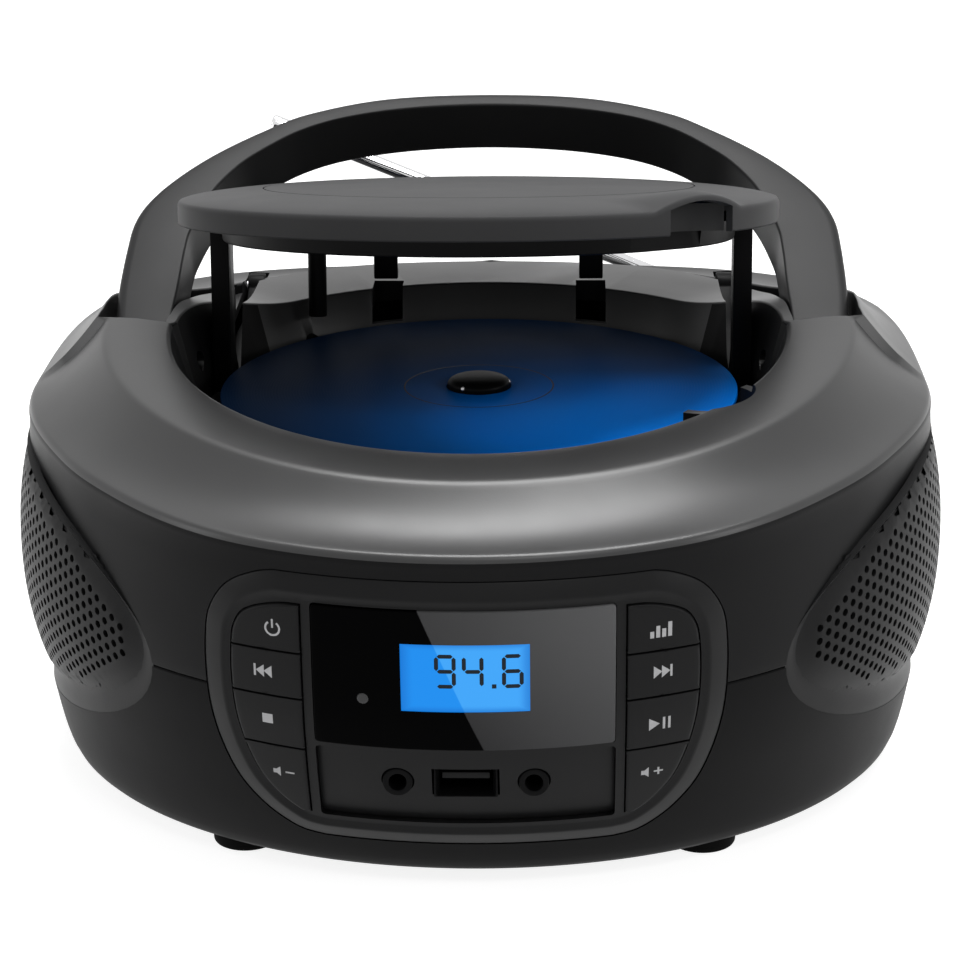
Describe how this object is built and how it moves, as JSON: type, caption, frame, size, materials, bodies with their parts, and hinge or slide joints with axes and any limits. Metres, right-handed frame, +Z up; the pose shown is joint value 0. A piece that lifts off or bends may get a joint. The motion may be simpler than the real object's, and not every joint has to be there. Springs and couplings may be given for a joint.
{
  "type": "portable disc player",
  "caption": "Portable round disc player with a tilted lid, a raised U handle, domed speaker grilles at the sides and a telescopic antenna.",
  "frame": {"origin": "bottom centre of the bounding box, on the plane the feet stand on", "axes": "+X towards the player's right side as seen from the front, -Y towards the front panel, +Z up"},
  "size_m": [0.218, 0.2144, 0.1392],
  "materials": {
    "body_plastic": "satin",
    "black_plastic": "satin",
    "panel_plastic": "semi-gloss",
    "display_gloss": "high gloss",
    "lit_display": "lit",
    "disc_blue": "polished",
    "chrome_metal": "polished",
    "steel_metal": "satin",
    "foot_rubber": "matt",
    "circuit_board": "satin"
  },
  "bodies": {
    "housing": {"top_housing": "body_plastic", "bottom_housing": "body_plastic", "front_panel": "panel_plastic", "display_lens": "display_gloss", "lcd_module": "lit_display", "key_board": "circuit_board", "jack_panel": "black_plastic", "headphone_jack": "chrome_metal", "line_in_jack": "chrome_metal", "usb_socket": "steel_metal", "disc_well": "black_plastic", "spindle_motor": "steel_metal", "pickup_rail_left": "steel_metal", "pickup_rail_right": "steel_metal", "lid_hinge_pin_left": "steel_metal", "lid_hinge_pin_right": "steel_metal", "grille_left": "black_plastic", "grille_right": "black_plastic", "speaker_left": "steel_metal", "speaker_right": "steel_metal", "foot_1": "foot_rubber", "foot_2": "foot_rubber", "foot_3": "foot_rubber", "foot_4": "foot_rubber", "battery_bay": "black_plastic", "battery_contact_left": "steel_metal", "battery_contact_right": "steel_metal", "ac_inlet": "black_plastic", "main_board": "circuit_board", "transformer": "steel_metal"},
    "handle": {"handle": "body_plastic", "handle_pin_left": "black_plastic", "handle_pin_right": "black_plastic"},
    "lid": {"lid_cover": "body_plastic", "lid_liner": "black_plastic"},
    "clamp": {"disc_clamp": "black_plastic"},
    "spindle": {"spindle_hub": "black_plastic", "compact_disc": "disc_blue"},
    "pickup": {"pickup_sled": "black_plastic"},
    "power_key": {"power_button": "panel_plastic"},
    "previous_key": {"previous_button": "panel_plastic"},
    "stop_key": {"stop_button": "panel_plastic"},
    "volume_down_key": {"volume_down_button": "panel_plastic"},
    "mode_key": {"mode_button": "panel_plastic"},
    "next_key": {"next_button": "panel_plastic"},
    "play_key": {"play_button": "panel_plastic"},
    "volume_up_key": {"volume_up_button": "panel_plastic"},
    "antenna_turret": {"antenna_base": "black_plastic"},
    "antenna_mast": {"antenna_section_1": "chrome_metal"},
    "antenna_tube_2": {"antenna_section_2": "chrome_metal"},
    "antenna_tube_3": {"antenna_section_3": "chrome_metal"},
    "antenna_tube_4": {"antenna_section_4": "chrome_metal"},
    "door": {"battery_door": "body_plastic"},
    "left_cone": {"cone_left": "black_plastic"},
    "right_cone": {"cone_right": "black_plastic"}
  },
  "joints": [
    {"name": "handle_swing", "type": "hinge", "parent": "housing", "child": "handle", "pos_m": [0, 0.0101, 0.0886], "axis": [1, 0, 0], "range_deg": [-22, 59]},
    {"name": "lid_swing", "type": "hinge", "parent": "housing", "child": "lid", "pos_m": [0, 0.0891, 0.0866], "axis": [1, 0, 0], "range_deg": [-6, 16]},
    {"name": "clamp_spin", "type": "hinge", "parent": "lid", "child": "clamp", "pos_m": [0, 0.0093, 0.12757], "axis": [0, 0.1564, 0.9877], "continuous": true},
    {"name": "disc_spin", "type": "hinge", "parent": "housing", "child": "spindle", "pos_m": [0, -0.0009, 0.0856], "axis": [0, 0, 1], "continuous": true},
    {"name": "pickup_slide", "type": "slide", "parent": "housing", "child": "pickup", "axis": [0, 1, 0], "range_m": [-0.018, 0.006]},
    {"name": "power_press", "type": "slide", "parent": "housing", "child": "power_key", "axis": [0, 1, 0], "range_m": [0, 0.0012], "stiffness_N_per_m": 400},
    {"name": "previous_press", "type": "slide", "parent": "housing", "child": "previous_key", "axis": [0, 1, 0], "range_m": [0, 0.0012], "stiffness_N_per_m": 400},
    {"name": "stop_press", "type": "slide", "parent": "housing", "child": "stop_key", "axis": [0, 1, 0], "range_m": [0, 0.0012], "stiffness_N_per_m": 400},
    {"name": "volume_down_press", "type": "slide", "parent": "housing", "child": "volume_down_key", "axis": [0, 1, 0], "range_m": [0, 0.0012], "stiffness_N_per_m": 400},
    {"name": "mode_press", "type": "slide", "parent": "housing", "child": "mode_key", "axis": [0, 1, 0], "range_m": [0, 0.0012], "stiffness_N_per_m": 400},
    {"name": "next_press", "type": "slide", "parent": "housing", "child": "next_key", "axis": [0, 1, 0], "range_m": [0, 0.0012], "stiffness_N_per_m": 400},
    {"name": "play_press", "type": "slide", "parent": "housing", "child": "play_key", "axis": [0, 1, 0], "range_m": [0, 0.0012], "stiffness_N_per_m": 400},
    {"name": "volume_up_press", "type": "slide", "parent": "housing", "child": "volume_up_key", "axis": [0, 1, 0], "range_m": [0, 0.0012], "stiffness_N_per_m": 400},
    {"name": "antenna_turn", "type": "hinge", "parent": "housing", "child": "antenna_turret", "pos_m": [0.068, 0.1049, 0.0759], "axis": [0, 1, 0], "range_deg": [-8, 157]},
    {"name": "antenna_elbow", "type": "hinge", "parent": "antenna_turret", "child": "antenna_mast", "pos_m": [0.068, 0.1049, 0.0759], "axis": [-0.3795, 0, -0.9252], "range_deg": [0, 90]},
    {"name": "antenna_slide_2", "type": "slide", "parent": "antenna_mast", "child": "antenna_tube_2", "axis": [-0.9252, 0, 0.3795], "range_m": [0, 0.1]},
    {"name": "antenna_slide_3", "type": "slide", "parent": "antenna_tube_2", "child": "antenna_tube_3", "axis": [-0.9252, 0, 0.3795], "range_m": [0, 0.1]},
    {"name": "antenna_slide_4", "type": "slide", "parent": "antenna_tube_3", "child": "antenna_tube_4", "axis": [-0.9252, 0, 0.3795], "range_m": [0, 0.1]},
    {"name": "battery_door_swing", "type": "hinge", "parent": "housing", "child": "door", "pos_m": [0, 0.0111, 0.0036], "axis": [1, 0, 0], "range_deg": [-100, 0]},
    {"name": "left_cone_stroke", "type": "slide", "parent": "housing", "child": "left_cone", "axis": [1, 0, 0], "range_m": [-0.001, 0.001], "stiffness_N_per_m": 900},
    {"name": "right_cone_stroke", "type": "slide", "parent": "housing", "child": "right_cone", "axis": [1, 0, 0], "range_m": [-0.001, 0.001], "stiffness_N_per_m": 900}
  ]
}
